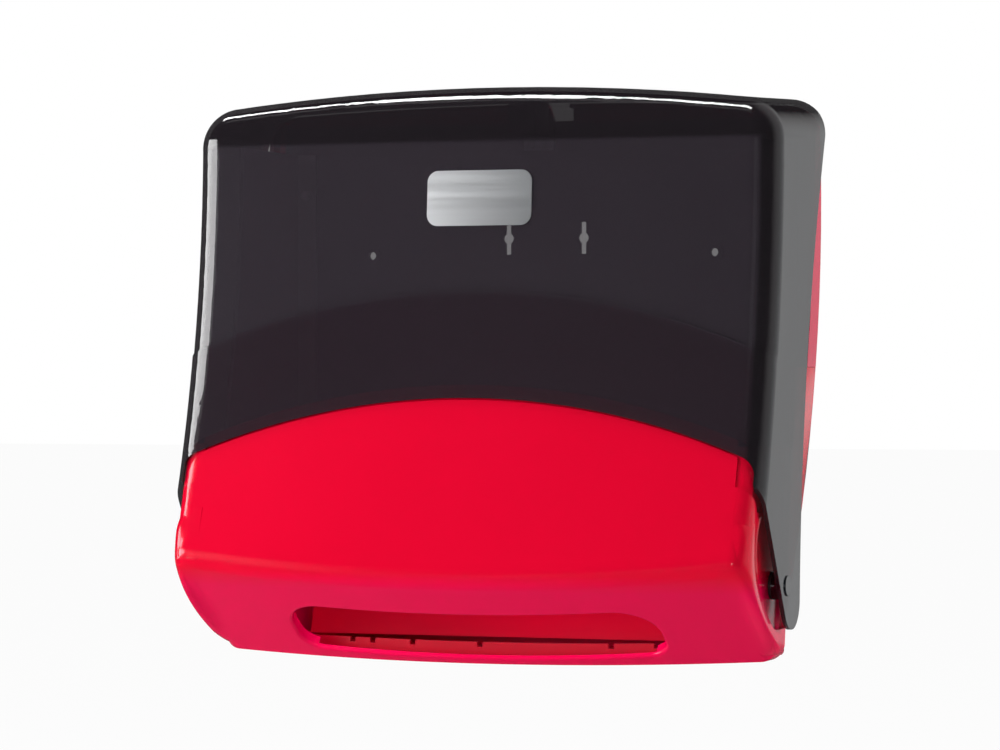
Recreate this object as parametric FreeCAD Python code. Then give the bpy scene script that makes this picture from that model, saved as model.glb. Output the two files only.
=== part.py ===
import FreeCAD, Part
import math
import os
from FreeCAD import Vector

# Wall-mounted dispenser for folded wipers: a back plate, a lower front with the pulling slot,
# and a smoke-tinted cover that swings forward on two low hinge pins. All lengths are in millimetres.
# The origin is the middle of the back plate's wall face, at the height of the lowest edge.
# X runs to the right as seen from the front, Y runs back into the wall, and Z runs up.
# A depth is a distance in front of the wall, so a point's Y is minus its depth.

# Overall size
overall_width = 427.0
overall_height = 398.4
crease_depth = 206.0
rear_top_rise = 6.0

# Cover
cover_wall = 3.0
pin_head_height = 0.9
cover_half_width = overall_width / 2 - pin_head_height
cover_corner_radius = 28.0
cover_edge_radius = 18.0
cover_rear_gap = 2.5
top_arch_rise = 15.1
arch_radius = 524.0
lower_arch_top = overall_height - 214.4
band_arch_top = overall_height - 140.9
opening_side_strip = 6.5
opening_corner_radius = 14.0
band_raise = 2.0
skirt_tip_radius = 20.0
skirt_tip_depth = 99.0
skirt_tip_height = 47.0
skirt_front_lean = 32.5
skirt_rear_top_depth = -8.0
skirt_rear_mid_depth = 50.0
skirt_rear_mid_height = 247.0

# Front face, a hollow arc in side view that is slightly crowned in plan
front_radius = 772.0
front_upright_height = overall_height - 27.4
front_crown = 5.3
front_crown_radius = 4330.0
brow_start_height = overall_height - 39.4
brow_radius = 60.0
brow_end_angle = 46.0

# Lower front
body_wall = 3.0

crease_height = 60.3
front_hollow = front_radius - math.sqrt(front_radius ** 2 - (front_upright_height - crease_height) ** 2)
front_top_depth = crease_depth - front_crown - front_hollow
underside_angle = 35.2
underside_crown_radius = 1360.0
bottom_crown_radius = 3850.0
body_edge_radius = 12.0
step_edge_radius = 12.0
body_half_width = cover_half_width - 4.0
flank_full_depth = 85.0
flank_radius = 5580.0
flank_widest_height = overall_height - 148.4
wall_half_width = body_half_width - 1.6
wall_flank_radius = 1650.0
wall_widest_height = overall_height - 77.4
step_inset = 4.0
step_gap = 1.2
step_overlap = 9.0
side_step_radius = 61.0
side_step_depth = 103.0
side_step_height = 88.0
side_step_turn = 106.0
side_step_width = 14.0
front_step_low = 124.0
side_wall_top = lower_arch_top + 21.0
side_wall_step_depth = 75.0
lug_half = 4.5
body_screw_high_x = body_half_width - 13.1
body_screw_high_z = side_wall_top - 13.0
body_screw_low_x = body_half_width - 40.6
body_screw_low_z = 40.0

# Pulling slot in the underside
slot_length = 2 * body_half_width - 150.2
slot_height = 55.5
slot_low_offset = 7.0
slot_top_radius = 30.0
slot_low_radius = 15.0
slot_collar = 8.0
slot_lip_radius = 2.5

# Back plate
plate_thickness = 3.0
plate_top_gap = 1.5
plate_corner_radius = 26.0
rim_top_depth = 12.0
rim_low_depth = 30.0
seam_gap = 0.3
wall_hole_spacing = 260.0
wall_hole_height = overall_height - 111.7
wall_hole_radius = 3.0
boss_wall = 3.5
boss_height = 1.5
hanging_slot_spacing = 57.0
hanging_slot_shift = 3.5
hanging_slot_width = 4.2
hanging_slot_low = overall_height - 111.9
hanging_slot_top = overall_height - 88.9
hanging_slot_eye_radius = 4.0
window_left = 5.0
window_right = 24.6
window_low = overall_height - 16.4
window_slant = 5.0
rib_heights = (overall_height - 164.4, overall_height - 180.4, overall_height - 196.4)
rib_half_length = 6.0
rib_height = 1.0
rib_width = 2.0

# Hinge
hinge_depth = 112.0
hinge_height = 57.4
pin_radius = 4.0
pin_running_clearance = 0.05
pin_hole_clearance = 0.1
pin_head_radius = 7.0
bush_wall = 2.6
bush_flange_radius = 9.5
bush_flange_thickness = 1.6
bush_length = 9.0
bush_seat_clearance = 0.05
bush_flange_gap = 0.4
clip_thickness = 1.2
clip_radius = 7.0
clip_groove_depth = 1.0
pin_tail = 2.0
clip_place = body_half_width - 17.6

# Lock
lock_half_width = 10.0
lock_front_depth = 46.0
lock_rear_depth = 16.0
lock_body_low = overall_height - 28.0
lock_top_gap = 0.6
lock_depth = 32.0
lock_insert_radius = 5.5
lock_clearance = 0.1
bolt_width = 11.0
bolt_height = 6.0
bolt_low = overall_height - 24.0
bolt_rear_depth = 10.0
bolt_front_depth = 39.0
lock_insert_proud = 0.6
crank_throw = 3.89
crank_pin_radius = 1.5
crank_clearance = 0.3
key_slot_length = 7.0
key_slot_width = 1.8
key_slot_depth = 2.5
strike_half_width = 11.0
strike_front_depth = 8.0
strike_clearance = 0.7
strike_low = overall_height - 37.0
strike_high = overall_height - 13.0

# Inside
guide_half_spacing = body_half_width - 20.6
guide_thickness = 2.5
guide_low = 122.5
guide_high = overall_height - 37.4
guide_front_gap = 29.0
guide_foot = 14.0
floor_thickness = 2.5
floor_rear_depth = 22.0
floor_front_depth = 103.0
floor_half_width = body_half_width - 58.6
floor_lip_height = 8.0
floor_clearance = 0.3
notch_places = (-106.0, -91.0, -61.0, -11.0, 85.0, 118.0)
notch_width = 4.0
notch_depth = 3.5
ramp_thickness = 2.5
ramp_half_width = body_half_width - 38.6
ramp_low_depth = 24.0
ramp_low = 12.0
ramp_bend_height = 70.0
ramp_top = 104.0
shelf_thickness = 2.5
shelf_height = 122.0
shelf_depth = 118.0
shelf_flange_height = 14.0
shelf_half_width = guide_half_spacing - 4.0
shelf_opening_length = 2 * shelf_half_width - 118.0
shelf_opening_depth = 52.0

# Screws
screw_radius = 2.0
screw_head_radius = 3.8
screw_head_height = 2.4
screw_clearance = 0.15

# Blank plate on the cover
badge_width = 76.0
badge_height = 38.0
badge_thickness = 0.8
badge_height_place = overall_height - 77.4
badge_corner = 8.0
badge_place = 3.0

reach = 260.0
up = Vector(0, 0, 1)
forward = Vector(0, -1, 0)


def point(x, depth, z):
    """A point from its place across, its depth in front of the wall and its height."""
    return Vector(x, -depth, z)


def line(a, b):
    return Part.LineSegment(a, b).toShape()


def arc(a, middle, b):
    return Part.Arc(a, middle, b).toShape()


def face_of(edges):
    return Part.Face(Part.Wire(edges))


def polygon(points):
    return Part.Face(Part.makePolygon(points + points[:1]))


def block(x0, x1, depth0, depth1, z0, z1):
    """A box between two widths, two depths and two heights."""
    return Part.makeBox(x1 - x0, depth1 - depth0, z1 - z0, point(x0, depth1, z0))


def across(face_points, x0, x1):
    """A solid from a side-view outline of (depth, height) points, run from x0 to x1."""
    face = polygon([point(x0, depth, z) for depth, z in face_points])
    return face.extrude(Vector(x1 - x0, 0, 0))


def cylinder_x(radius, x0, x1, depth, z):
    """A round bar along X, from x0 to a larger or smaller x1."""
    start, length = min(x0, x1), abs(x1 - x0)
    return Part.makeCylinder(radius, length, point(start, depth, z), Vector(1, 0, 0))


def cylinder_forward(radius, x, depth0, depth1, z):
    """A round bar along the depth, from depth0 forward to depth1."""
    return Part.makeCylinder(radius, depth1 - depth0, point(x, depth0, z), forward)


def front_depth(z, inset=0.0):
    """Depth of the front arc in the middle plane at height z, moved in by inset."""
    radius = front_radius + inset
    hollow = radius - math.sqrt(radius ** 2 - (front_upright_height - z) ** 2)
    return front_top_depth + front_crown - inset + hollow


def front_sweep(inset, brow):
    """Everything behind the front face: its side outline turned about a far upright axis.

    With brow true, the face bends back above brow_start_height along an arc of brow_radius.
    """
    low, high = -30.0, overall_height + 30.0
    top_of_arc = brow_start_height if brow else high
    start = point(0, front_depth(low, inset), low)
    middle_height = (low + top_of_arc) / 2
    middle = point(0, front_depth(middle_height, inset), middle_height)
    end = point(0, front_depth(top_of_arc, inset), top_of_arc)
    edges = [arc(start, middle, end)]
    if brow:
        lean = math.asin((front_upright_height - brow_start_height) / (front_radius + inset))
        last = math.radians(brow_end_angle)
        radius = brow_radius - inset
        centre_depth = -end.y - radius * math.cos(lean)
        centre_height = end.z - radius * math.sin(lean)

        def on_brow(angle):
            return point(0, centre_depth + radius * math.cos(angle), centre_height + radius * math.sin(angle))

        brow_end = on_brow(last)
        edges.append(arc(end, on_brow((lean + last) / 2), brow_end))
        run = (high - brow_end.z) * math.tan(last)
        end = point(0, -brow_end.y - run, high)
        edges.append(line(brow_end, end))
    back_top = point(0, -20.0, high)
    back_low = point(0, -20.0, low)
    edges += [line(end, back_top), line(back_top, back_low), line(back_low, start)]
    face = face_of(edges)
    axis_place = point(0, front_top_depth - front_crown_radius, 0)
    half_turn = math.degrees(reach / front_crown_radius)
    face.rotate(axis_place, up, -half_turn)
    return face.revolve(axis_place, up, 2 * half_turn)


def arch_face(half_width, top, rise, low, depth):
    """Front outline at one depth: straight sides under an arc of the given rise."""
    shoulder = top - rise
    edges = [
        line(point(-half_width, depth, low), point(-half_width, depth, shoulder)),
        arc(point(-half_width, depth, shoulder), point(0, depth, top), point(half_width, depth, shoulder)),
        line(point(half_width, depth, shoulder), point(half_width, depth, low)),
        line(point(half_width, depth, low), point(-half_width, depth, low)),
    ]
    return Part.Wire(edges)


def arched_block(half_width, top, rise, low, corner=0.0, rear_rise=None):
    """A block over the whole depth whose top edge is an arc of the given rise.

    With rear_rise, the rise grows evenly from that at the wall to rise at front_top_depth.
    """
    if rear_rise is None:
        depth0, depth1 = -30.0, reach
        rise0 = rise1 = rise
    else:
        depth0, depth1 = -1.0, reach
        growth = (rise - rear_rise) / front_top_depth
        rise0, rise1 = rear_rise + growth * depth0, rear_rise + growth * depth1
    ends = [arch_face(half_width, top, rise0, low, depth0), arch_face(half_width, top, rise1, low, depth1)]
    solid = Part.makeLoft(ends, True, True)
    if corner:
        shoulders = []
        for edge in solid.Edges:
            along = abs(edge.BoundBox.YLength - (depth1 - depth0)) < 0.01
            if along and edge.CenterOfMass.z > top - rise1 - 1:
                shoulders.append(edge)
        solid = solid.makeFillet(corner, shoulders)
    return solid


def under_arch(top, radius=arch_radius, low=-40.0):
    """Everything below an arc of the given radius with its top in the middle."""
    half = reach
    rise = radius - math.sqrt(radius ** 2 - half ** 2)
    return arched_block(half, top, rise, low)


def front_opening(gap):
    """Front view of the part of the lower front that the cover leaves open, less a gap."""
    half = cover_half_width - opening_side_strip - gap
    rise = arch_radius - math.sqrt(arch_radius ** 2 - half ** 2)
    return arched_block(half, lower_arch_top - gap, rise, -40.0, opening_corner_radius)


def cover_form(front_inset, side_inset, edge_radius):
    """The closed form of the cover, moved in from the front and from the sides and top."""
    outline = arched_block(
        cover_half_width - side_inset,
        overall_height - side_inset,
        top_arch_rise,
        -60.0,
        cover_corner_radius - side_inset,
        rear_top_rise,
    )
    form = front_sweep(front_inset, True).common(outline)
    chosen = []
    for edge in form.Edges:
        place = edge.CenterOfMass
        on_front = -place.y > front_top_depth - 25 and place.z > 0
        inner_seam = abs(place.x) < 1 and abs(place.z - brow_start_height) < 6
        if on_front and not inner_seam:
            chosen.append(edge)
    return form.makeFillet(edge_radius, chosen)


def skirt_outline(gap=0.0):
    """Side view of the cover: rear edge, round tip at the hinge and leaning front edge."""
    radius = skirt_tip_radius + gap
    lean = math.radians(skirt_front_lean)
    centre = (skirt_tip_depth, skirt_tip_height)

    def on_tip(angle):
        return point(0, centre[0] + radius * math.cos(angle), centre[1] + radius * math.sin(angle))

    rear = on_tip(math.pi)
    front = on_tip(-lean)
    length = 260.0
    far = point(0, -front.y + length * math.sin(lean), front.z + length * math.cos(lean))
    high = overall_height + 10.0
    top_front = point(0, reach, high)
    far_side = point(0, reach, far.z)
    top_rear = point(0, skirt_rear_top_depth - gap, high)
    rear_middle = point(0, skirt_rear_mid_depth - gap, skirt_rear_mid_height)
    edges = [
        arc(rear, on_tip(math.pi + (math.pi - lean) / 2), front),
        line(front, far),
        line(far, far_side),
        line(far_side, top_front),
        line(top_front, top_rear),
        arc(top_rear, rear_middle, rear),
    ]
    return face_of(edges)


def through_width(face):
    """Run a side-view face across the whole width."""
    start = face.translated(Vector(-reach, 0, 0))
    return start.extrude(Vector(2 * reach, 0, 0))


def flank_outline(depth, half_width, radius, widest_height, inset):
    """Front view of the body's two sides at one depth: arcs that draw in towards the bottom."""
    low, high = -20.0, overall_height + 20.0

    def half(z):
        return half_width - inset - (radius - math.sqrt(radius ** 2 - (widest_height - z) ** 2))

    middle = (low + high) / 2
    edges = [
        arc(point(-half(low), depth, low), point(-half(middle), depth, middle), point(-half(high), depth, high)),
        line(point(-half(high), depth, high), point(half(high), depth, high)),
        arc(point(half(high), depth, high), point(half(middle), depth, middle), point(half(low), depth, low)),
        line(point(half(low), depth, low), point(-half(low), depth, low)),
    ]
    return Part.Wire(edges)


def body_flanks(inset):
    """The body between its two sides: narrow at the wall, full width from flank_full_depth on."""
    wall = flank_outline(0.0, wall_half_width, wall_flank_radius, wall_widest_height, inset)
    full = flank_outline(flank_full_depth, body_half_width, flank_radius, flank_widest_height, inset)
    front = flank_outline(reach, body_half_width, flank_radius, flank_widest_height, inset)
    rear_part = Part.makeLoft([wall, full], True, True)
    front_part = Part.makeLoft([full, front], True, True)
    return rear_part.fuse(front_part)


def slope_frame():
    """Directions of the underside in side view: up the slope, and square out of it."""
    angle = math.radians(underside_angle)
    along = Vector(0, -math.cos(angle), math.sin(angle))
    out = Vector(0, -math.sin(angle), -math.cos(angle))
    return along, out


def above_underside(inset):
    """Everything above the sloping underside, which is crowned across its width."""
    along, out = slope_frame()
    radius = underside_crown_radius - inset
    rise = radius - math.sqrt(radius ** 2 - reach ** 2)
    crown = point(0, crease_depth, crease_height) - out * inset + along * 90.0
    left = crown - out * rise + Vector(-reach, 0, 0)
    right = crown - out * rise + Vector(reach, 0, 0)
    back_left = left - out * 500.0
    back_right = right - out * 500.0
    edges = [arc(left, crown, right), line(right, back_right), line(back_right, back_left), line(back_left, left)]
    return face_of(edges).extrude(along * -520.0)


def above_bottom(inset):
    """Everything above the bottom edge, which hangs lowest in the middle."""
    rise = bottom_crown_radius - math.sqrt(bottom_crown_radius ** 2 - reach ** 2)
    edges = [
        arc(point(-reach, -30, rise + inset), point(0, -30, inset), point(reach, -30, rise + inset)),
        line(point(reach, -30, rise + inset), point(reach, -30, overall_height + 40)),
        line(point(reach, -30, overall_height + 40), point(-reach, -30, overall_height + 40)),
        line(point(-reach, -30, overall_height + 40), point(-reach, -30, rise + inset)),
    ]
    return face_of(edges).extrude(forward * (reach + 60))


def sharp_form(inset):
    """The closed form of the lower front, moved in by inset, before its edges are rounded."""
    form = front_sweep(inset, False).common(body_flanks(inset))
    form = form.common(above_underside(inset))
    form = form.common(above_bottom(inset))
    return form.common(block(-reach, reach, fixing_depth, reach, -10, side_wall_top))


def round_edges(solid, form, radius):
    """Round those front edges of a solid that lie on the skin of the given form."""
    chosen = []
    for edge in solid.Edges:
        place = edge.CenterOfMass
        middle = edge.valueAt((edge.FirstParameter + edge.LastParameter) / 2)
        corner = abs(place.x) > body_half_width - 25
        upright = corner and place.z > crease_height + 20 and -place.y > front_top_depth
        beside_slope = corner and place.z < crease_height and -place.y > plate_thickness + 5
        crease = abs(place.x) < 2 and abs(place.z - crease_height) < 15
        cut_edge = abs(middle.z - side_wall_top) < 0.01
        if cut_edge or not (upright or beside_slope or crease):
            continue
        spot = Part.Vertex(middle)
        if min(face.distToShape(spot)[0] for face in form.Faces) < 0.01:
            chosen.append(edge)
    return solid.makeFillet(radius, chosen)


def rounded_shell(inset, outer_radius):
    """A wall of even thickness behind the form moved in by inset, rounded inside and out."""
    outer = sharp_form(inset)
    inner = sharp_form(inset + body_wall)
    shell = round_edges(outer.cut(inner), inner, outer_radius - body_wall)
    return round_edges(shell, outer, outer_radius)


def screw(x, depth, z, length):
    """A pan-head screw driven towards the wall, its head seated at the given depth."""
    head = cylinder_forward(screw_head_radius, x, depth, depth + screw_head_height, z)
    shank = cylinder_forward(screw_radius, x, depth - length, depth, z)
    drive = cylinder_forward(screw_radius / 2, x, depth + screw_head_height / 2, depth + 10, z)
    return head.fuse(shank).cut(drive)


def screw_hole(x, z, depth0, depth1):
    return cylinder_forward(screw_radius + screw_clearance, x, depth0, depth1, z)


def both_sides(x, z):
    return [(-x, z), (x, z)]


def flank_half(z):
    """Half the width of the full body at height z."""
    drop = flank_radius - math.sqrt(flank_radius ** 2 - (flank_widest_height - z) ** 2)
    return body_half_width - drop


body_screw_places = both_sides(body_screw_high_x, body_screw_high_z) + both_sides(body_screw_low_x, body_screw_low_z)
guide_foot_middle = guide_half_spacing - guide_foot / 2
guide_screw_places = both_sides(guide_foot_middle, guide_low + 30) + both_sides(guide_foot_middle, guide_high - 30)
shelf_screw_places = both_sides(shelf_half_width - 20, shelf_height - shelf_flange_height / 2)
strike_screw_places = both_sides(strike_half_width - screw_head_radius - 0.5, strike_low + screw_head_radius + 0.5)
fixing_depth = plate_thickness + seam_gap
hinge_flank = flank_half(hinge_height) - step_inset


def plate_region(inset, top_inset):
    """Front outline of the back plate: the body's sides under an arched top."""
    top = overall_height - cover_wall - plate_top_gap - top_inset
    arched = arched_block(body_half_width, top, top_arch_rise, -30.0, plate_corner_radius - top_inset, rear_top_rise)
    return body_flanks(inset).common(arched)


def low_corner(side):
    """What the rounding of one low corner takes off the plate: a corner outside a quarter circle."""
    drop = wall_flank_radius - math.sqrt(wall_flank_radius ** 2 - wall_widest_height ** 2)
    slope = math.asin(wall_widest_height / wall_flank_radius)
    x = wall_half_width - drop
    bottom = bottom_crown_radius - math.sqrt(bottom_crown_radius ** 2 - x ** 2)
    height = bottom + body_edge_radius
    x += height * math.tan(slope) - body_edge_radius / math.cos(slope)
    join = height - body_edge_radius * math.sin(slope)
    corner = block(min(side * x, side * reach), max(side * x, side * reach), -1, plate_thickness + 1, -10, join)
    return corner.cut(cylinder_forward(body_edge_radius, side * x, -2, plate_thickness + 2, height))


def back_plate():
    """Flat plate against the wall with a low rim round its upper part."""
    region = plate_region(0.0, 0.0)
    plate = region.common(block(-reach, reach, 0, plate_thickness, -10, overall_height)).common(above_bottom(0.0))
    for side in (-1, 1):
        plate = plate.cut(low_corner(side))
    rim = region.cut(plate_region(body_wall, body_wall))
    rim_side = across(
        [
            (0, side_wall_top + seam_gap),
            (rim_low_depth, side_wall_top + seam_gap),
            (rim_top_depth, overall_height),
            (0, overall_height),
        ],
        -reach,
        reach,
    )
    plate = plate.fuse(rim.common(rim_side))
    for x, z in both_sides(wall_hole_spacing / 2, wall_hole_height):
        plate = plate.fuse(cylinder_forward(wall_hole_radius + boss_wall, x, 0, plate_thickness + boss_height, z))
        plate = plate.cut(cylinder_forward(wall_hole_radius, x, -1, plate_thickness + boss_height + 1, z))
    for side in (-1, 1):
        x = hanging_slot_shift + side * hanging_slot_spacing / 2
        half = hanging_slot_width / 2
        slot = block(x - half, x + half, -1, plate_thickness + 1, hanging_slot_low, hanging_slot_top)
        eye_height = (hanging_slot_low + hanging_slot_top) / 2
        plate = plate.cut(slot).cut(cylinder_forward(hanging_slot_eye_radius, x, -1, plate_thickness + 1, eye_height))
    window = [
        point(window_left + window_slant, -1, window_low),
        point(window_right, -1, window_low),
        point(window_right, -1, overall_height),
        point(window_left, -1, overall_height),
    ]
    plate = plate.cut(polygon(window).extrude(forward * (rim_low_depth + 2)))
    places = body_screw_places + guide_screw_places + shelf_screw_places + strike_screw_places
    for x, z in places:
        plate = plate.cut(screw_hole(x, z, -1, plate_thickness + 1))
    for z in rib_heights:
        plate = plate.fuse(block(-rib_half_length, rib_half_length, plate_thickness, plate_thickness + rib_height, z, z + rib_width))
    return plate


def stepped_region(grow):
    """Where the lower front steps in behind the cover: above the arch, and beside the skirts."""
    rear = flank_full_depth + step_gap - grow
    above = block(-reach, reach, rear, reach, front_step_low - grow, overall_height)
    above = above.cut(front_opening(step_gap + grow))
    radius = side_step_radius + grow
    bottom = point(0, side_step_depth, side_step_height - radius)
    middle_angle = math.radians(-45)
    middle = point(
        0,
        side_step_depth + radius * math.cos(middle_angle),
        side_step_height + radius * math.sin(middle_angle),
    )
    front = point(0, side_step_depth + radius, side_step_height)
    front_high = point(0, side_step_depth + radius, side_step_turn)
    rise = side_wall_top - side_step_turn
    lean = math.radians(skirt_front_lean)
    far = point(0, -front_high.y + rise * math.tan(lean), side_wall_top)
    rear_high = point(0, rear, side_wall_top)
    rear_low = point(0, rear, side_step_height - radius)
    edges = [
        arc(bottom, middle, front),
        line(front, front_high),
        line(front_high, far),
        line(far, rear_high),
        line(rear_high, rear_low),
        line(rear_low, bottom),
    ]
    side = through_width(face_of(edges))
    strip = body_half_width - side_step_width - grow
    side = side.cut(block(-strip, strip, -30, reach, -40, overall_height))
    return above.fuse(side)


def slot_prism(offset, depth_in, depth_out):
    """The pulling slot's outline, grown by offset, run square through the underside."""
    along, out = slope_frame()
    foot = point(0, crease_depth - crease_height / math.tan(math.radians(underside_angle)), 0)
    half = slot_length / 2 + offset
    low = slot_low_offset - offset
    high = slot_low_offset + slot_height + offset
    top_round = slot_top_radius + offset
    low_round = slot_low_radius + offset
    root = math.sqrt(0.5)

    def place(x, t):
        return foot + Vector(x, 0, 0) + along * t - out * depth_in

    def corner(x, t, radius, side_x, side_t):
        """A quarter arc whose centre is at (x, t), bulging to side_x and side_t."""
        start = place(x + side_x * radius, t)
        middle = place(x + side_x * radius * root, t + side_t * radius * root)
        end = place(x, t + side_t * radius)
        return start, middle, end

    right_top = corner(half - top_round, high - top_round, top_round, 1, 1)
    left_top = corner(top_round - half, high - top_round, top_round, -1, 1)
    left_low = corner(low_round - half, low + low_round, low_round, -1, -1)
    right_low = corner(half - low_round, low + low_round, low_round, 1, -1)
    edges = [
        arc(*right_top),
        line(right_top[2], left_top[2]),
        arc(*reversed(left_top)),
        line(left_top[0], left_low[0]),
        arc(*left_low),
        line(left_low[2], right_low[2]),
        arc(*reversed(right_low)),
        line(right_low[0], right_top[0]),
    ]
    return face_of(edges).extrude(out * (depth_in + depth_out))


def below_slot():
    """Everything below the slot's lower edge, where the wall keeps its plain thickness."""
    along, out = slope_frame()
    foot = point(0, crease_depth - crease_height / math.tan(math.radians(underside_angle)), 0)
    edge = foot + along * (slot_low_offset + 1.0)
    low = edge - along * 100.0
    return through_width(polygon([edge + out * 60.0, edge - out * 60.0, low - out * 60.0, low + out * 60.0]))


def lower_front():
    """Lower front shell with the crease, the sloping underside and the pulling slot."""
    sharp = sharp_form(0.0)
    outer = round_edges(sharp, sharp, body_edge_radius)
    step = stepped_region(0.0)
    shell = rounded_shell(0.0, body_edge_radius).cut(step)
    link = outer.cut(sharp_form(step_inset + body_wall)).common(stepped_region(body_wall)).cut(step)
    behind_cover = rounded_shell(step_inset, step_edge_radius).common(step)
    shell = shell.fuse(link).fuse(behind_cover)
    upper_front = block(-reach, reach, side_wall_step_depth, reach, 0, overall_height)
    shell = shell.cut(upper_front.cut(under_arch(lower_arch_top + step_overlap)))
    collar = slot_prism(slot_collar, 40, 40).common(outer.cut(above_underside(slot_collar))).cut(below_slot())
    shell = shell.fuse(collar)
    for x, z in body_screw_places:
        side = 1 if x > 0 else -1
        reach_out = side * (body_half_width + 5)
        lug = block(
            min(x - side * lug_half, reach_out),
            max(x - side * lug_half, reach_out),
            fixing_depth,
            fixing_depth + body_wall,
            z - lug_half,
            z + lug_half,
        )
        shell = shell.fuse(lug.common(outer))
        shell = shell.cut(screw_hole(x, z, 0, fixing_depth + 10))
    for side in (-1, 1):
        bore = pin_radius + pin_running_clearance + bush_wall + bush_seat_clearance
        shell = shell.cut(cylinder_x(bore, side * (hinge_flank - 12), side * (hinge_flank + 5), hinge_depth, hinge_height))
    slot = slot_prism(0.0, 60, 60)
    shell = shell.cut(slot)
    skin = above_underside(0.0)
    rim = []
    for edge in shell.Edges:
        middle = edge.valueAt((edge.FirstParameter + edge.LastParameter) / 2)
        spot = Part.Vertex(middle)
        on_skin = min(face.distToShape(spot)[0] for face in skin.Faces) < 0.01
        on_slot = min(face.distToShape(spot)[0] for face in slot.Faces) < 0.01
        if on_skin and on_slot:
            rim.append(edge)
    return shell.makeFillet(slot_lip_radius, rim)


def smoke_cover():
    """Tinted cover: a shell with an arched top, a raised lower band and two hinge skirts."""
    band = under_arch(band_arch_top)
    outer = cover_form(0.0, 0.0, cover_edge_radius)
    outer = outer.fuse(cover_form(-band_raise, 0.0, cover_edge_radius).common(band))
    inner_radius = cover_edge_radius - cover_wall
    inner = cover_form(cover_wall, cover_wall, inner_radius)
    inner = inner.fuse(cover_form(cover_wall - band_raise, cover_wall, inner_radius).common(band))
    shell = outer.cut(inner)
    opening = front_opening(0.0).common(block(-reach, reach, front_top_depth - 30, reach, -40, overall_height))
    shell = shell.cut(opening)
    shell = shell.common(through_width(skirt_outline()))
    shell = shell.cut(block(-reach, reach, -30, cover_rear_gap, -40, overall_height + 20))
    inner_face = cover_half_width - cover_wall
    for side in (-1, 1):
        boss_end = hinge_flank + bush_flange_gap + bush_flange_thickness + seam_gap
        boss = cylinder_x(bush_flange_radius, side * boss_end, side * inner_face, hinge_depth, hinge_height)
        hole = cylinder_x(pin_radius + pin_hole_clearance, side * (boss_end - 1), side * reach, hinge_depth, hinge_height)
        shell = shell.fuse(boss).cut(hole)
    lock_hole = Part.makeCylinder(lock_insert_radius + lock_clearance, 40, point(0, lock_depth, lock_body_low))
    return shell.cut(lock_hole)


def hinge_pin(side):
    """Headed pin along X with a groove for its clip."""
    inner_end = clip_place - clip_thickness / 2 - pin_tail
    shank = cylinder_x(pin_radius, side * inner_end, side * cover_half_width, hinge_depth, hinge_height)
    head_end = cover_half_width + pin_head_height
    head = cylinder_x(pin_head_radius, side * cover_half_width, side * head_end, hinge_depth, hinge_height)
    edges = [edge for edge in head.Edges if abs(abs(edge.CenterOfMass.x) - head_end) < 0.01]
    head = head.makeFillet(pin_head_height / 2, edges)
    groove_half = clip_thickness / 2
    groove = cylinder_x(pin_radius + 1, side * (clip_place - groove_half), side * (clip_place + groove_half), hinge_depth, hinge_height)
    core = cylinder_x(pin_radius - clip_groove_depth, side * (clip_place - 5), side * (clip_place + 5), hinge_depth, hinge_height)
    return shank.fuse(head).cut(groove.cut(core))


def hinge_clip(side):
    """Open ring that snaps into the pin's groove."""
    half = clip_thickness / 2 - 0.05
    ring = cylinder_x(clip_radius, side * (clip_place - half), side * (clip_place + half), hinge_depth, hinge_height)
    hole = pin_radius - clip_groove_depth + screw_clearance / 3
    ring = ring.cut(cylinder_x(hole, side * (clip_place - 5), side * (clip_place + 5), hinge_depth, hinge_height))
    mouth = pin_radius - clip_groove_depth
    gap = block(-reach, reach, hinge_depth - mouth, hinge_depth + mouth, hinge_height - 20, hinge_height)
    return ring.cut(gap)


def hinge_bush(side):
    """Flanged bush that lines the hole in the lower front."""
    outer = pin_radius + pin_running_clearance + bush_wall
    seat = hinge_flank + bush_flange_gap
    body = cylinder_x(outer, side * (seat - bush_length), side * seat, hinge_depth, hinge_height)
    flange = cylinder_x(bush_flange_radius, side * seat, side * (seat + bush_flange_thickness), hinge_depth, hinge_height)
    bore = cylinder_x(pin_radius + pin_running_clearance, side * (seat - 30), side * (seat + 20), hinge_depth, hinge_height)
    return body.fuse(flange).cut(bore)


def lock_body():
    """Block under the top of the cover that guides the bolt and the turning insert."""
    top = overall_height - cover_wall - lock_top_gap
    body = block(-lock_half_width, lock_half_width, lock_rear_depth, lock_front_depth, lock_body_low, top)
    channel = block(
        -bolt_width / 2 - lock_clearance,
        bolt_width / 2 + lock_clearance,
        lock_rear_depth - 1,
        bolt_front_depth + 1,
        bolt_low - lock_clearance,
        bolt_low + bolt_height + lock_clearance,
    )
    bore_low = bolt_low + bolt_height
    bore = Part.makeCylinder(lock_insert_radius + lock_clearance, 60, point(0, lock_depth, bore_low))
    return body.cut(channel).cut(bore)


def lock_insert():
    """Turning plug with a key slot in its top and a crank pin under it."""
    low = bolt_low + bolt_height + 2 * lock_clearance
    top = overall_height + lock_insert_proud
    plug = Part.makeCylinder(lock_insert_radius, top - low, point(0, lock_depth, low))
    edges = [edge for edge in plug.Edges if abs(edge.CenterOfMass.z - top) < 0.01]
    plug = plug.makeChamfer(lock_insert_proud / 2, edges)
    offset = crank_throw * math.sqrt(0.5)
    pin_low = bolt_low + bolt_height / 2 + lock_clearance
    pin = Part.makeCylinder(crank_pin_radius, low - pin_low + 1, point(offset, lock_depth + offset, pin_low))
    slot = block(-key_slot_length / 2, key_slot_length / 2, -key_slot_width / 2, key_slot_width / 2, 0, key_slot_depth + 1)
    slot.rotate(Vector(0, 0, 0), up, -45)
    slot.translate(point(0, lock_depth, top - key_slot_depth))
    return plug.fuse(pin).cut(slot)


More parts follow.
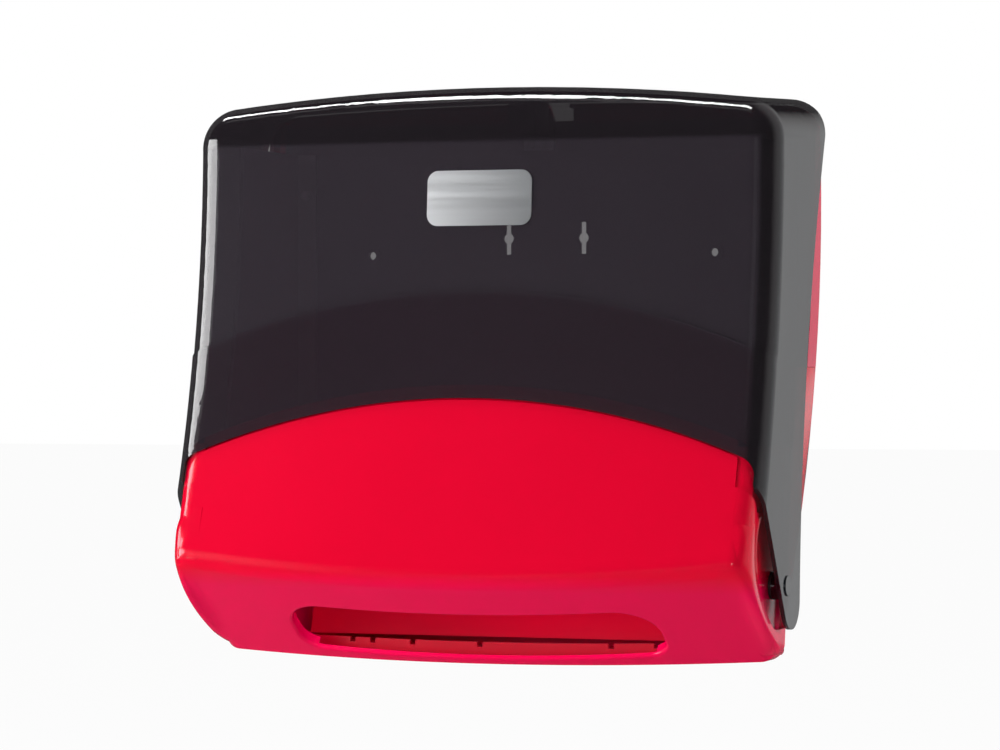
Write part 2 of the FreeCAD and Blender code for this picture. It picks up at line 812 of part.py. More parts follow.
def lock_bolt():
    """Sliding bolt with a cross slot for the crank pin."""
    bolt = block(-bolt_width / 2, bolt_width / 2, bolt_rear_depth, bolt_front_depth, bolt_low, bolt_low + bolt_height)
    offset = crank_throw * math.sqrt(0.5)
    half = crank_pin_radius + crank_clearance
    slot = block(
        offset - half,
        bolt_width,
        lock_depth + offset - half,
        lock_depth + offset + half,
        bolt_low + bolt_height / 2,
        bolt_low + bolt_height + 1,
    )
    nose = [edge for edge in bolt.Edges if abs(-edge.CenterOfMass.y - bolt_rear_depth) < 0.01]
    return bolt.makeChamfer(0.8, nose).cut(slot)


def lock_strike():
    """Keeper on the back plate that the bolt shoots into."""
    strike = block(-strike_half_width, strike_half_width, fixing_depth, strike_front_depth, strike_low, strike_high)
    window = block(
        -bolt_width / 2 - strike_clearance,
        bolt_width / 2 + strike_clearance,
        0,
        strike_front_depth + 1,
        bolt_low - strike_clearance,
        bolt_low + bolt_height + strike_clearance,
    )
    strike = strike.cut(window)
    for x, z in strike_screw_places:
        strike = strike.cut(screw_hole(x, z, 0, 20))
    return strike


def pack_guide(side):
    """Side plate beside the stack, with a screwed foot against the back plate."""
    outer = guide_half_spacing
    front_low = front_depth(guide_low) - front_crown - guide_front_gap
    front_high = front_depth(guide_high) - front_crown - guide_front_gap
    middle = (guide_low + guide_high) / 2
    front_middle = front_depth(middle) - front_crown - guide_front_gap
    x0 = side * outer
    edges = [
        line(point(x0, fixing_depth, guide_low), point(x0, front_low, guide_low)),
        arc(point(x0, front_low, guide_low), point(x0, front_middle, middle), point(x0, front_high, guide_high)),
        line(point(x0, front_high, guide_high), point(x0, fixing_depth, guide_high)),
        line(point(x0, fixing_depth, guide_high), point(x0, fixing_depth, guide_low)),
    ]
    web = face_of(edges).extrude(Vector(side * guide_thickness, 0, 0))
    inner = side * (outer - guide_foot)
    foot = block(min(inner, x0), max(inner, x0), fixing_depth, fixing_depth + guide_thickness, guide_low, guide_high)
    guide = web.fuse(foot)
    for x, z in guide_screw_places:
        if x * side > 0:
            guide = guide.cut(screw_hole(x, z, 0, 20))
    return guide


def wiper_shelf():
    """Shelf under the stack, open in the middle, with a flange along the back plate."""
    low = shelf_height - shelf_thickness
    shelf = block(-shelf_half_width, shelf_half_width, fixing_depth, shelf_depth, low, shelf_height)
    middle = (fixing_depth + shelf_depth) / 2
    opening = block(
        -shelf_opening_length / 2,
        shelf_opening_length / 2,
        middle - shelf_opening_depth / 2,
        middle + shelf_opening_depth / 2,
        low - 1,
        shelf_height + 1,
    )
    corners = [edge for edge in opening.Edges if edge.BoundBox.ZLength > shelf_thickness]
    shelf = shelf.cut(opening.makeFillet(shelf_opening_depth / 3, corners))
    flange_low = shelf_height - shelf_flange_height
    flange = block(-shelf_half_width, shelf_half_width, fixing_depth, fixing_depth + shelf_thickness, flange_low, shelf_height)
    shelf = shelf.fuse(flange)
    for x, z in shelf_screw_places:
        shelf = shelf.cut(screw_hole(x, z, 0, 20))
    return shelf


def rear_ramp():
    """Sloping plate that turns the hanging wiper forward to the slot."""
    half = ramp_thickness / 2
    outline = [
        (ramp_low_depth - half, ramp_low),
        (ramp_low_depth + half, ramp_low),
        (fixing_depth + ramp_thickness, ramp_bend_height),
        (fixing_depth + ramp_thickness, ramp_top),
        (fixing_depth, ramp_top),
        (fixing_depth, ramp_bend_height),
    ]
    return across(outline, -ramp_half_width, ramp_half_width)


def dispensing_floor():
    """Loose floor plate behind the slot with a notched lip along its front."""
    base = body_wall + floor_clearance
    inside = sharp_form(base)
    length = block(-floor_half_width, floor_half_width, floor_rear_depth, floor_front_depth, -20, 60)
    plate = inside.cut(above_bottom(base + floor_thickness)).common(length)
    lip_zone = block(
        -floor_half_width,
        floor_half_width,
        floor_front_depth - floor_thickness,
        floor_front_depth,
        -20,
        60,
    )
    lip = inside.cut(above_bottom(base + floor_thickness + floor_lip_height)).common(lip_zone)
    floor = plate.fuse(lip)
    for x in notch_places:
        notch = block(x - notch_width / 2, x + notch_width / 2, floor_front_depth - 5, floor_front_depth + 1, -20, 60)
        low = above_bottom(base + floor_thickness + floor_lip_height - notch_depth)
        floor = floor.cut(notch.common(low))
    return floor


def badge_plate():
    """Blank plate on the upper front of the cover."""
    skin_gap = 0.05
    sheet = front_sweep(-skin_gap - badge_thickness, True).cut(front_sweep(-skin_gap, True))
    half = badge_width / 2
    low = badge_height_place - badge_height / 2
    outline = block(badge_place - half, badge_place + half, 100, reach, low, low + badge_height)
    corners = [edge for edge in outline.Edges if edge.BoundBox.YLength > 50]
    return sheet.common(outline.makeFillet(badge_corner, corners))


def group(solids):
    return Part.makeCompound(solids)


def save(name, shape):
    """Write one sub-part, its pieces as separate solids."""
    solids = shape.Solids
    result = solids[0] if len(solids) == 1 else Part.makeCompound(solids)
    result.exportStep(os.path.join("parts", name + ".step"))
    box = result.BoundBox
    corners = (box.XMin, box.YMin, box.ZMin, box.XMax, box.YMax, box.ZMax)
    print(name, len(solids), result.isValid(), round(result.Volume / 1000, 2), [round(value, 1) for value in corners])


def main():
    os.makedirs("parts", exist_ok=True)
    save("back_plate", back_plate())
    save("lower_front", lower_front())
    save("smoke_cover", smoke_cover())
    save("badge_plate", badge_plate())
    for name, side in (("left", -1), ("right", 1)):
        save("hinge_pin_" + name, hinge_pin(side))
        save("hinge_bush_" + name, hinge_bush(side))
        save("pack_guide_" + name, pack_guide(side))
    save("hinge_clips", group([hinge_clip(-1), hinge_clip(1)]))
    save("lock_body", lock_body())
    save("lock_insert", lock_insert())
    save("lock_bolt", lock_bolt())
    save("lock_strike", lock_strike())
    save("wiper_shelf", wiper_shelf())
    save("rear_ramp", rear_ramp())
    save("dispensing_floor", dispensing_floor())
    length = fixing_depth + body_wall - 0.5
    save("body_screws", group([screw(x, fixing_depth + body_wall, z, length) for x, z in body_screw_places]))
    length = fixing_depth + guide_thickness - 0.5
    save("guide_screws", group([screw(x, fixing_depth + guide_thickness, z, length) for x, z in guide_screw_places]))
    length = fixing_depth + shelf_thickness - 0.5
    save("shelf_screws", group([screw(x, fixing_depth + shelf_thickness, z, length) for x, z in shelf_screw_places]))
    length = strike_front_depth - 0.5
    save("strike_screws", group([screw(x, strike_front_depth, z, length) for x, z in strike_screw_places]))


main()
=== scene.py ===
import math

import bpy
import numpy as np
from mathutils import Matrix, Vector


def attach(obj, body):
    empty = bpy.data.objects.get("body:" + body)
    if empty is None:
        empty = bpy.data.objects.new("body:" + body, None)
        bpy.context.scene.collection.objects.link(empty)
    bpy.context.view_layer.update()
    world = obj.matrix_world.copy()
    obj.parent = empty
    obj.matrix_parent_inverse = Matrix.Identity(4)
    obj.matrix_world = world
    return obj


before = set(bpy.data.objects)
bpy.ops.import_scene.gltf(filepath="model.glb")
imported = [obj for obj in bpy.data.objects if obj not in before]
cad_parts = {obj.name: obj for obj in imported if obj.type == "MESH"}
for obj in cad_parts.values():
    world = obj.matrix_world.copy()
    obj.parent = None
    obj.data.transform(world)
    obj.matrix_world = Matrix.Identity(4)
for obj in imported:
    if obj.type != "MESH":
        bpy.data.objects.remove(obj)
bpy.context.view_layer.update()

# Wall dispenser for folded wipers: the finishes of its solids, four small pieces that fill out
# the red body, and a plain studio. Lengths are in metres in the solids' own frame, apart from the
# slope edges. The wall is the plane y = 0, +Z is up, and a depth is minus y.

# Camera, worked out from the photograph's perspective
camera_place = (0.8926, -2.6124, 0.1996)
camera_turn_degrees = 19.5
camera_lens = 137.9
camera_sensor = 36.0
camera_reach = 100.0

# Light levels, where 1 is white
world_fill = 0.15
world_front = 0.1
world_behind = 0.73
floor_white_share = 0.96
mirrored_floor = 0.15
white_light = (1, 1, 1, 1)

# Floor
floor_height = -0.25
floor_half_width = 20.0
floor_tone = (0.9, 0.9, 0.9, 1)

# Colours of the red body and of the parts in its lower chamber
face_red_deep = (0.74, 0.0, 0.024, 1)
face_red_light = (0.78, 0.0, 0.028, 1)
# The slope's pinker red below the crease is a painted reflection of the floor
slope_red_painted_reflection = (0.78, 0.0, 0.066, 1)
# Near-black painted shade for the recessed walls under the cover's skirts
recess_painted_shade = (0.02, 0.002, 0.004, 1)
# The chamber reds are lifted above the face red as painted light inside the slot
chamber_red_deep = (0.80, 0.0, 0.028)
chamber_red_light = (0.88, 0.0, 0.034)

# Colours of the back plate
rim_red = (0.72, 0.0, 0.06, 1)
field_grey = (0.09, 0.075, 0.088, 1)

# Colours of the cover and its hinge pins
smoke_deep = (0.034, 0.027, 0.036, 1)
smoke_light = (0.040, 0.033, 0.042, 1)
# The darker tones for the band below the arch and for the bends are painted shade
smoke_band_painted_shade = (0.026, 0.017, 0.024, 1)
smoke_bend_painted_shade = (0.012, 0.009, 0.012, 1)
# The bluish side tone is a painted reflection of the pale background
smoke_side_painted_reflection = (0.010, 0.015, 0.020, 1)
pin_deep = (0.010, 0.013, 0.016, 1)
pin_light = (0.013, 0.016, 0.020, 1)

# Metals: the finer lines' share of the full tone, and the painted shade at the badge's right end
line_shade = 0.9
badge_painted_shade = (0.12, 0.13, 0.14, 1)

# Red body: where the slope's painted reflection of the floor starts, and the round recess beside each skirt,
# whose walls get painted shade
crease_height = 0.066
slope_reflection_run = 0.012
recess_depth = 0.103
recess_height = 0.088
recess_radius = 0.0615
recess_inner_x = 0.1928
recess_outer_x = 0.1995
recess_rear = 0.098
recess_run = 0.0005
recess_round_run = 0.0001

# Back plate: the dark field lies inside the rim, and over the whole rear face
rim_half_width = 0.2
rim_height = 0.382
field_low = 0.12
rim_run = 0.002
rear_depth = 0.0008
rear_run = 0.0004

# Cover: where the painted shade of its bends and of the band below its arch starts, and where the painted
# reflection on its side walls starts
bend_start_x = 0.199
bend_start_z = 0.3586
side_start_x = 0.2105
arch_top = 0.2575
arch_radius = 0.524
bend_run = 0.003

# Plate on the cover
badge_half = 0.038

# Corner pieces that close the gap between the red front and the ends of the cover's arch
corner_low = 0.112
corner_high = 0.152
corner_back = 0.152
corner_inner_x = 0.1905
corner_outer_x = 0.2052
corner_start_x = 0.1942
corner_radius = 0.0154
corner_rows = 21
corner_steps = 13
cover_inner_depth = 0.16777
cover_inner_height = 0.148
cover_inner_slope = 0.3
cover_inner_curve = 0.625

# Slope edges, in millimetres: their rows and the way across
edge_low = 7.0
edge_high = 108.0
edge_rows = 60
edge_steps = 25
edge_start = 186.0
edge_outer = 207.3

# The body's own face there: the slope's line and the front's line, and their fall to the side
slope_depth = 98.36
slope_rise = 1.418
front_depth = 222.3
front_rise = -0.36
crease_softness = 4.0
fall_front = 0.05
fall_slope = 0.185
fall_height = 66.0
fall_run = 4.0

# The outer side of a slope edge, seen from the side
side_depth = 80.0
side_rise = 2.8
side_curve = 0.018
side_highest = 77.8
side_front_depth = 220.5
side_softness = 2.0

# A slope edge's rounded foot and rounded front edge, its sink below the body's face, and its back
foot_high = 19.5
foot_radius = 12.5
round_width = 7.0
round_share = 1.4
edge_sink = 0.12
side_wall = 10.0
back_slant_width = 1.5
back_slant_depth = 4.0
inner_wall = 3.0

# Near its top a slope edge draws in: where this starts, and by how much it moves what
fade_start = 90.0
fade_run = 18.0
fade_depth = 5.5
fade_inset = 1.2
fade_round = 5.0

sharp_degrees = 35


class Socket:
    """A shader socket that takes part in plain sums: + - * / and the helpers below add nodes."""

    def __init__(self, finish, link):
        self.finish = finish
        self.link = link

    def _math(self, operation, *values):
        return self.finish.node("ShaderNodeMath", {"operation": operation}, dict(enumerate(values)))

    def __add__(self, other):
        return self._math("ADD", self, other)

    def __sub__(self, other):
        return self._math("SUBTRACT", self, other)

    def __mul__(self, other):
        return self._math("MULTIPLY", self, other)

    def __truediv__(self, other):
        return self._math("DIVIDE", self, other)

    def __rsub__(self, other):
        return self._math("SUBTRACT", other, self)

    __radd__ = __add__
    __rmul__ = __mul__

    def clamp(self):
        return self.finish.node("ShaderNodeClamp", {}, {"Value": self})

    def maximum(self, other):
        return self._math("MAXIMUM", self, other)

    def size(self):
        return self._math("ABSOLUTE", self)


class Finish:
    """A material, or the world, built from one method that adds any node."""

    def __init__(self, owner):
        self.owner = owner
        owner.use_nodes = True
        self.tree = owner.node_tree
        self.tree.nodes.clear()

    def node(self, kind, settings, values, output=0):
        """Add a node of a type, apply its settings, then fill or link its sockets."""
        made = self.tree.nodes.new(kind)
        for name, value in settings.items():
            setattr(made, name, value)
        for name, value in values.items():
            socket = made.inputs[name]
            if isinstance(value, Socket):
                self.tree.links.new(value.link, socket)
            else:
                socket.default_value = value
        return Socket(self, made.outputs[output] if len(made.outputs) else None)

    def place(self):
        return self.node("ShaderNodeTexCoord", {}, {}, "Object")

    def axis(self, vector, name):
        return self.node("ShaderNodeSeparateXYZ", {}, {"Vector": vector}, name)

    def along(self, name):
        """One coordinate of the point, in metres in the part's own frame."""
        return self.axis(self.place(), name)

    def ray(self, name):
        return self.node("ShaderNodeLightPath", {}, {}, name)

    def noise(self, scale, detail=2.0):
        values = {"Vector": self.place(), "Scale": scale, "Detail": detail}
        return self.node("ShaderNodeTexNoise", {}, values)

    def between(self, amount, low, high):
        """A colour that runs from low to high as amount runs from 0 to 1."""
        return self.node("ShaderNodeMix", {"data_type": "RGBA"}, {0: amount, 6: low, 7: high}, 2)

    def blend(self, amount, first, second):
        """A surface that runs from the first to the second as amount runs from 0 to 1."""
        return self.node("ShaderNodeMixShader", {}, {0: amount, 1: first, 2: second})

    def glow(self, kind, level):
        """White light of a level from 0 to 1, blended from a dark and a white shader of one kind."""
        dark = self.node(kind, {}, {"Color": white_light, "Strength": 0.0})
        bright = self.node(kind, {}, {"Color": white_light, "Strength": 1.0})
        return self.blend(level, dark, bright)

    def fine_bump(self, height):
        return self.node("ShaderNodeBump", {}, {"Height": height, "Strength": 0.15, "Distance": 0.0002})

    def close(self, kind, surface):
        self.node(kind, {}, {"Surface": surface})
        return self.owner


def principled(name, values):
    """A finish whose Principled shader takes the given values; a painted-shade amount, if given, blends in a
    dark matte shader as painted shade.
    """
    finish = Finish(bpy.data.materials.new(name))
    made = values(finish)
    painted_shade = made.pop("Dull", None)
    surface = finish.node("ShaderNodeBsdfPrincipled", {}, made)
    if painted_shade is not None:
        shade = finish.node("ShaderNodeBsdfDiffuse", {}, {"Color": recess_painted_shade})
        surface = finish.blend(painted_shade, surface, shade)
    return finish.close("ShaderNodeOutputMaterial", surface)


def red_gloss():
    """Glossy moulded red, pinker below the crease as a painted reflection of the floor, with painted shade
    on the recessed walls under the skirts.
    """
    def values(finish):
        # Painted shade: a mask over the recessed walls under the skirts turns them near-black
        low = (recess_height - finish.along("Z")).maximum(0.0)
        deep = (-recess_depth - finish.along("Y")).maximum(0.0)
        inside = (recess_radius * recess_radius - low * low - deep * deep) / recess_round_run
        outer = (recess_outer_x - finish.along("X").size()) / recess_run
        inner = (finish.along("X").size() - recess_inner_x) / recess_run
        ahead = (-recess_rear - finish.along("Y")) / recess_run
        mottle = finish.noise(9.0)
        face = finish.between(mottle, face_red_deep, face_red_light)
        # Painted reflection of the floor: the base turns pinker below the crease
        below = (crease_height - finish.along("Z")) / slope_reflection_run
        return {
            "Base Color": finish.between(below.clamp(), face, slope_red_painted_reflection),
            "Roughness": 0.12 + mottle * 0.03,
            "Dull": inside.clamp() * outer.clamp() * inner.clamp() * ahead.clamp(),
            "Specular IOR Level": 0.25,
            "IOR": 1.5,
        }
    return principled("red_gloss", values)


def plate_red():
    """Back plate: red rim, and a darker satin field inside it and on the rear face."""
    def values(finish):
        grain = finish.noise(700.0, 3.0)
        inside = (rim_half_width - finish.along("X").size()) / rim_run
        under = (rim_height - finish.along("Z")) / rim_run
        over = (finish.along("Z") - field_low) / rim_run
        rear = (finish.along("Y") + rear_depth) / rear_run
        field = inside.clamp() * under.clamp() * over.clamp().maximum(rear.clamp())
        return {
            "Base Color": finish.between(field, rim_red, field_grey),
            "Roughness": 0.2 + field * 0.3,
            "Specular IOR Level": 0.3,
            "Normal": finish.fine_bump(grain * field),
        }
    return principled("plate_red", values)


def chamber_red_lit_and_shaded(name, level):
    """Moulded red of the parts inside the lower chamber, scaled by a level that stands in for the light each
    part gets: painted light on the ramp, painted shade on the floor.
    """
    deep = tuple(value * level for value in chamber_red_deep)
    light = tuple(value * level for value in chamber_red_light)

    def values(finish):
        mottle = finish.noise(12.0)
        return {
            "Base Color": finish.between(mottle, (*deep, 1), (*light, 1)),
            "Roughness": 0.25 + mottle * 0.08,
            "Specular IOR Level": 0.3,
        }
    return principled(name, values)


def smoke_gloss():
    """Clear dark smoke, with painted shade at the bends and below the arch and a painted bluish reflection
    on the side walls; alpha is for one of the wall's two faces.
    """
    def values(finish):
        mottle = finish.noise(6.0)
        # Painted shade at the bends and below the arch: a darker base and more alpha there
        across = (finish.along("X").size() - bend_start_x) / bend_run
        above = (finish.along("Z") - bend_start_z) / bend_run
        bend = across.clamp().maximum(above.clamp())
        rise = finish.along("Z") - (arch_top - arch_radius)
        reach = arch_radius * arch_radius - finish.along("X") * finish.along("X") - rise * rise
        band = (reach / (2.0 * arch_radius * bend_run)).clamp()
        # Painted reflection: a bluish tone on the side walls
        side = (finish.along("X").size() - side_start_x) / bend_run
        tone = finish.between(mottle, smoke_deep, smoke_light)
        tone = finish.between(band, tone, smoke_band_painted_shade)
        tone = finish.between(bend, tone, smoke_bend_painted_shade)
        return {
            "Base Color": finish.between(side.clamp(), tone, smoke_side_painted_reflection),
            "Roughness": 0.035 + mottle * 0.015,
            "Alpha": 0.62 + bend.maximum(band * 0.3) * 0.22 + mottle * 0.02,
            "IOR": 1.49,
        }
    return principled("smoke_gloss", values)


def plain_plastic(name, deep, light, roughness):
    """Moulded plastic with a fine grain."""
    def values(finish):
        grain = finish.noise(900.0, 3.0)
        return {
            "Base Color": finish.between(grain, (*deep, 1), (*light, 1)),
            "Roughness": roughness + grain * 0.08,
            "Normal": finish.fine_bump(grain),
        }
    return principled(name, values)


def glossy_black():
    """Polished dark plastic of the hinge pins, near the cover's own tone."""
    def values(finish):
        mottle = finish.noise(40.0)
        return {
            "Base Color": finish.between(mottle, pin_deep, pin_light),
            "Roughness": 0.05 + mottle * 0.03,
            "IOR": 1.49,
        }
    return principled("pin_gloss", values)


def metal(name, colour, roughness, stretch, fade=0.0):
    """Satin metal whose fine lines run along X; fade paints shade on it, darker from the badge's left end to
    its right.
    """
    def values(finish):
        stretched = finish.node("ShaderNodeMapping", {}, {"Vector": finish.place(), "Scale": stretch})
        lines = finish.node("ShaderNodeTexNoise", {}, {"Vector": stretched, "Scale": 60.0, "Detail": 3.0})
        tone = tuple(line_shade * value for value in colour)
        shown = finish.between(lines, (*tone, 1), (*colour, 1))
        if fade:
            # Painted shade across the badge, darker towards its right end
            right = (finish.along("X") + badge_half) / (2.0 * badge_half)
            shown = finish.between(right.clamp() * fade, shown, badge_painted_shade)
        return {
            "Base Color": shown,
            "Metallic": 1.0,
            "Roughness": roughness + lines * 0.12,
        }
    return principled(name, values)


def quarter(share):
    """How far a quarter circle has dropped at a share of its width: 1 - sqrt(1 - share squared)."""
    return 1.0 - np.sqrt(1.0 - share ** 2)


def lower(first, second, softness):
    """The lower of two curves, with the meeting point rounded off."""
    return -softness * np.log(np.exp(-first / softness) + np.exp(-second / softness))


def red_piece(name, sections, side):
    """Closed red block from a stack of closed outlines, each a row of points, lowest row first."""
    rows, count = sections.shape[:2]
    index = np.arange(rows * count).reshape(rows, count)
    ahead = np.roll(index, -1, axis=1)
    faces = np.stack([index[:-1], ahead[:-1], ahead[1:], index[1:]], axis=-1).reshape(-1, 4)
    faces = faces.tolist() + [index[0][::-1].tolist(), index[-1].tolist()]
    if side < 0:
        faces = [face[::-1] for face in faces]
    mesh = bpy.data.meshes.new(name)
    mesh.from_pydata(sections.reshape(-1, 3).tolist(), [], faces)
    mesh.materials.append(red)
    piece = bpy.data.objects.new(name, mesh)
    bpy.context.scene.collection.objects.link(piece)
    mesh.shade_smooth()
    mesh.set_sharp_from_angle(angle=math.radians(sharp_degrees))
    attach(piece, "housing")


def corner_piece(name, side):
    """Closed block behind one lower corner of the cover.

    At each height its outline follows the cover's inner face: the depth is a parabola in the height,
    and the corner drops by radius * (1 - cos a) while x grows by radius * sin a.
    """
    height = np.linspace(corner_low, corner_high, corner_rows)
    above = height - cover_inner_height
    front = cover_inner_depth - cover_inner_slope * above + cover_inner_curve * above ** 2
    turn = np.arcsin((corner_outer_x - corner_start_x) / corner_radius)
    angle = np.linspace(0.0, turn, corner_steps)
    across = np.concatenate([
        [corner_inner_x],
        corner_start_x + corner_radius * np.sin(angle),
        [corner_outer_x, corner_inner_x],
    ])
    drop = np.concatenate([[0.0], corner_radius * (1.0 - np.cos(angle))])
    depth = np.full((len(height), len(across)), corner_back)
    depth[:, :-2] = front[:, None] - drop
    wide = np.broadcast_to(across, depth.shape)
    tall = np.broadcast_to(height[:, None], depth.shape)
    red_piece(name, np.stack([side * wide, -depth, tall], axis=-1), side)


def slope_edge(name, side):
    """Closed block that fills out the body's lower side edge, in millimetres until the end.

    The body's own depth at the inner start is the lower of the slope's line and the front's line,
    and it falls evenly towards the side. At the side the depth is the lower of a parabola and the
    front's line. The difference comes in with the cube of the way across, and an ellipse rounds
    the last few millimetres. A circle takes in the lowest rows.
    """
    height = np.linspace(edge_low, edge_high, edge_rows)[:, None]
    fade = np.clip((height - fade_start) / fade_run, 0.0, 1.0) ** 2
    body = lower(slope_depth + slope_rise * height, front_depth + front_rise * height, crease_softness)
    curve = np.minimum(height, side_highest)
    curve = side_depth + side_rise * curve - side_curve * curve ** 2
    edge = lower(curve, side_front_depth + front_rise * height, side_softness) - fade_depth * fade
    foot = np.clip((foot_high - height) / foot_radius, 0.0, 1.0)
    outer = edge_outer - fade_inset * fade - foot_radius * quarter(foot)
    fall = fall_front + fall_slope / (1.0 + np.exp((height - fall_height) / fall_run))
    share = 1.0 - (1.0 - np.linspace(0.0, 1.0, edge_steps)) ** 2
    across = edge_start + (outer - edge_start) * share
    round_wide = round_width + fade_round * fade
    own = body - fall * (across - edge_start)
    past = np.clip((across - outer + round_wide) / round_wide, 0.0, 1.0)
    drop = round_share * round_wide * quarter(past)
    depth = own - edge_sink + (edge - own[:, -1:]) * share ** 3 - drop
    wall = depth[:, -1:] - side_wall
    inner = np.full_like(outer, edge_start)
    x = np.concatenate([across, outer, outer - back_slant_width, inner], axis=1)
    d = np.concatenate([depth, wall, wall - back_slant_depth, body - inner_wall], axis=1)
    z = np.broadcast_to(height, x.shape)
    red_piece(name, np.stack([side * x, -d, z], axis=-1) / 1000.0, side)


def studio_world():
    """White to the eye and through the cover, dim in front and brighter behind on the right in gloss."""
    world = bpy.data.worlds.new("studio")
    bpy.context.scene.world = world
    finish = Finish(world)
    seen = finish.ray("Is Camera Ray").maximum(finish.ray("Is Transmission Ray"))
    direction = finish.node("ShaderNodeTexCoord", {}, {}, "Generated")
    behind = (finish.axis(direction, "Y") * 2.5 + 0.6).clamp()
    right = (finish.axis(direction, "X") * 4.0 - 0.1).clamp()
    mirrored = world_front * (1.0 - behind * 0.8) + behind * right * world_behind
    soft = world_fill + finish.ray("Is Glossy Ray") * (mirrored - world_fill)
    surface = finish.glow("ShaderNodeBackground", soft + seen * (1.0 - soft))
    finish.close("ShaderNodeOutputWorld", surface)


def studio_floor():
    """A wide pale floor below the dispenser, nearly white to the camera, which keeps a soft shadow."""
    half = floor_half_width
    corners = [
        (-half, -half, floor_height),
        (half, -half, floor_height),
        (half, half, floor_height),
        (-half, half, floor_height),
    ]
    mesh = bpy.data.meshes.new("floor")
    mesh.from_pydata(corners, [], [(0, 1, 2, 3)])
    floor = bpy.data.objects.new("floor", mesh)
    bpy.context.scene.collection.objects.link(floor)
    finish = Finish(bpy.data.materials.new("floor_pale"))
    matte = finish.node("ShaderNodeBsdfDiffuse", {}, {"Color": floor_tone})
    bright = finish.node("ShaderNodeEmission", {}, {"Color": white_light, "Strength": 1.0})
    seen = finish.ray("Is Camera Ray").maximum(finish.ray("Is Transmission Ray"))
    shown = finish.blend(seen * floor_white_share, matte, bright)
    behind = (finish.along("Y") - 0.5).clamp() * (finish.along("X") - 0.1).clamp()
    level = mirrored_floor + behind * (world_behind - mirrored_floor)
    mirrored = finish.glow("ShaderNodeEmission", level)
    surface = finish.blend(finish.ray("Is Glossy Ray"), shown, mirrored)
    mesh.materials.append(finish.close("ShaderNodeOutputMaterial", surface))


def studio_camera():
    """The photograph's camera: level, to the right of the part, with no shift or depth of field."""
    camera = bpy.data.cameras.new("camera")
    camera.lens = camera_lens
    camera.sensor_width = camera_sensor
    camera.clip_end = camera_reach
    thing = bpy.data.objects.new("camera", camera)
    bpy.context.scene.collection.objects.link(thing)
    thing.location = camera_place
    thing.rotation_euler = (math.radians(90), 0, math.radians(camera_turn_degrees))
    bpy.context.scene.camera = thing


def area_lamp(name, place, aim, size, energy):
    """A flat rectangular lamp that faces its aim point."""
    lamp = bpy.data.lights.new(name, "AREA")
    lamp.shape = "RECTANGLE"
    lamp.size, lamp.size_y = size
    lamp.energy = energy
    thing = bpy.data.objects.new(name, lamp)
    bpy.context.scene.collection.objects.link(thing)
    thing.location = place
    direction = Vector(aim) - Vector(place)
    thing.rotation_euler = direction.to_track_quat("-Z", "Y").to_euler()
    thing.visible_camera = False
    return thing


def soft_lamp(name, place, aim, size, energy):
    """A lamp that lights the surfaces without showing in their gloss."""
    area_lamp(name, place, aim, size, energy).visible_glossy = False


def glint_strip(name, place, aim, size, radiance):
    """A strip that only shows in gloss, as a thin bright line along a rounded edge."""
    energy = radiance * math.pi * size[0] * size[1]
    strip = area_lamp(name, place, aim, size, energy)
    strip.visible_diffuse = False
    strip.visible_transmission = False


red = red_gloss()
smoke = smoke_gloss()
plate = plate_red()
# One chamber red at two levels for the light each part gets: the floor's half level is painted shade
ramp = chamber_red_lit_and_shaded("ramp_gloss", 1.0)
floor_red = chamber_red_lit_and_shaded("floor_gloss", 0.5)
inner_grey = plain_plastic("inner_grey", (0.26, 0.26, 0.27), (0.32, 0.32, 0.33), 0.45)
pin_gloss = glossy_black()
black = plain_plastic("black_plastic", (0.012, 0.012, 0.013), (0.02, 0.02, 0.02), 0.4)
zinc = metal("zinc_sheet", (0.66, 0.66, 0.68), 0.28, (0.2, 4.0, 4.0))
nickel = metal("lock_nickel", (0.62, 0.61, 0.60), 0.2, (1.0, 1.0, 1.0))
screws = metal("screw_zinc", (0.60, 0.60, 0.62), 0.25, (1.0, 1.0, 1.0))
badge = metal("badge_satin", (0.75, 0.76, 0.78), 0.3, (0.2, 4.0, 4.0), 0.55)

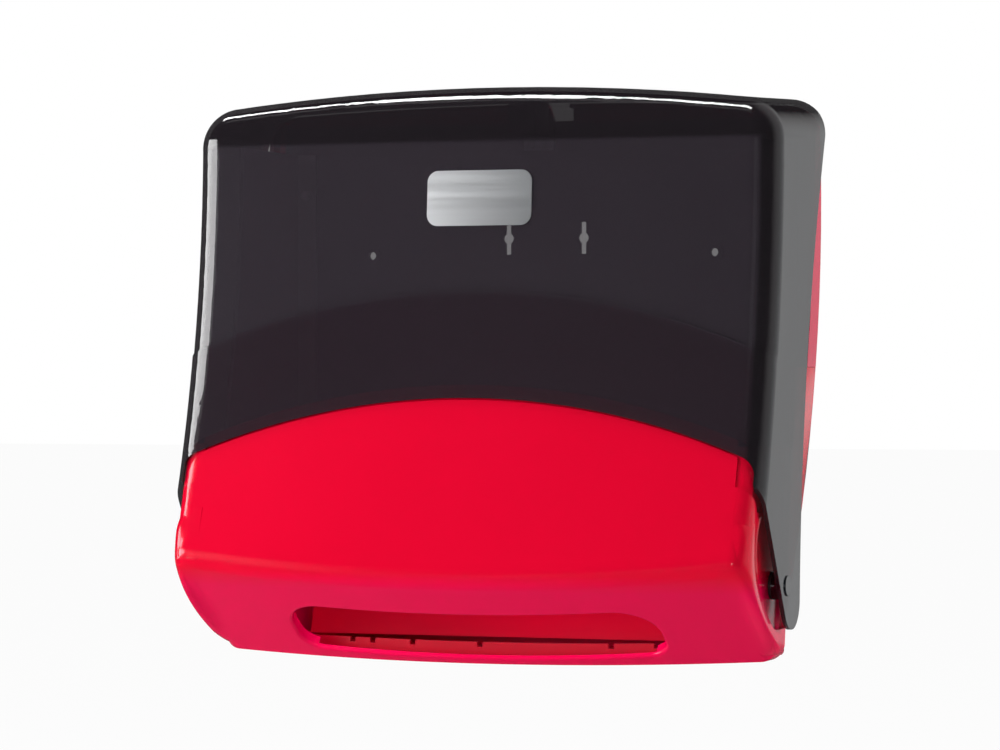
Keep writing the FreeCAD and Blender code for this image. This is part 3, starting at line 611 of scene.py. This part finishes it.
finishes = {
    "back_plate": plate,
    "lower_front": red,
    "smoke_cover": smoke,
    "badge_plate": badge,
    "hinge_pin_left": pin_gloss,
    "hinge_pin_right": pin_gloss,
    "hinge_bush_left": black,
    "hinge_bush_right": black,
    "hinge_clips": nickel,
    "pack_guide_left": inner_grey,
    "pack_guide_right": inner_grey,
    "lock_body": black,
    "lock_insert": nickel,
    "lock_bolt": nickel,
    "lock_strike": zinc,
    "wiper_shelf": inner_grey,
    "rear_ramp": ramp,
    "dispensing_floor": floor_red,
    "body_screws": screws,
    "guide_screws": screws,
    "shelf_screws": screws,
    "strike_screws": screws,
}
for node, material in finishes.items():
    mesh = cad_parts[node].data
    mesh.materials.clear()
    mesh.materials.append(material)

corner_piece("corner_left", -1)
corner_piece("corner_right", 1)
slope_edge("slope_edge_left", -1)
slope_edge("slope_edge_right", 1)

studio_world()
studio_floor()
studio_camera()

# Each lamp has its place, aim point and size, then its watts, or for a strip its radiance
soft_lamp("key_left", (-1.3, -1.5, 0.35), (0, -0.1, 0.2), (1.0, 1.0), 25)
soft_lamp("front", (-0.6, -2.7, -0.1), (0, -0.1, 0.1), (1.2, 1.0), 8)
soft_lamp("top", (0, -0.2, 2.4), (0, -0.1, 0.2), (2.0, 1.4), 38)
soft_lamp("side_right", (1.8, 0.7, 0.3), (0.2, -0.1, 0.15), (0.8, 0.8), 16)
soft_lamp("slot", (0.0, -0.15, 0.055), (0, -0.06, 0.02), (0.38, 0.01), 0.12)
glint_strip("top_edge_strip", (-0.79, -0.49, 2.4), (-0.70, -0.09, 0.39), (2.4, 0.32), 34)
glint_strip("left_upper_strip", (-1.93, -1.15, 0.62), (-0.2, -0.15, 0.5), (1.7, 0.84), 14)
glint_strip("left_lower_strip", (-2.0, -1.0, -0.05), (-0.2, -0.15, 0.0), (1.1, 0.5), 14)
glint_strip("right_streak", (0.95, -2.6, -0.1), (0.2, -0.15, 0.1), (0.3, 0.8), 8)

scene = bpy.context.scene
scene.view_settings.view_transform = "Standard"
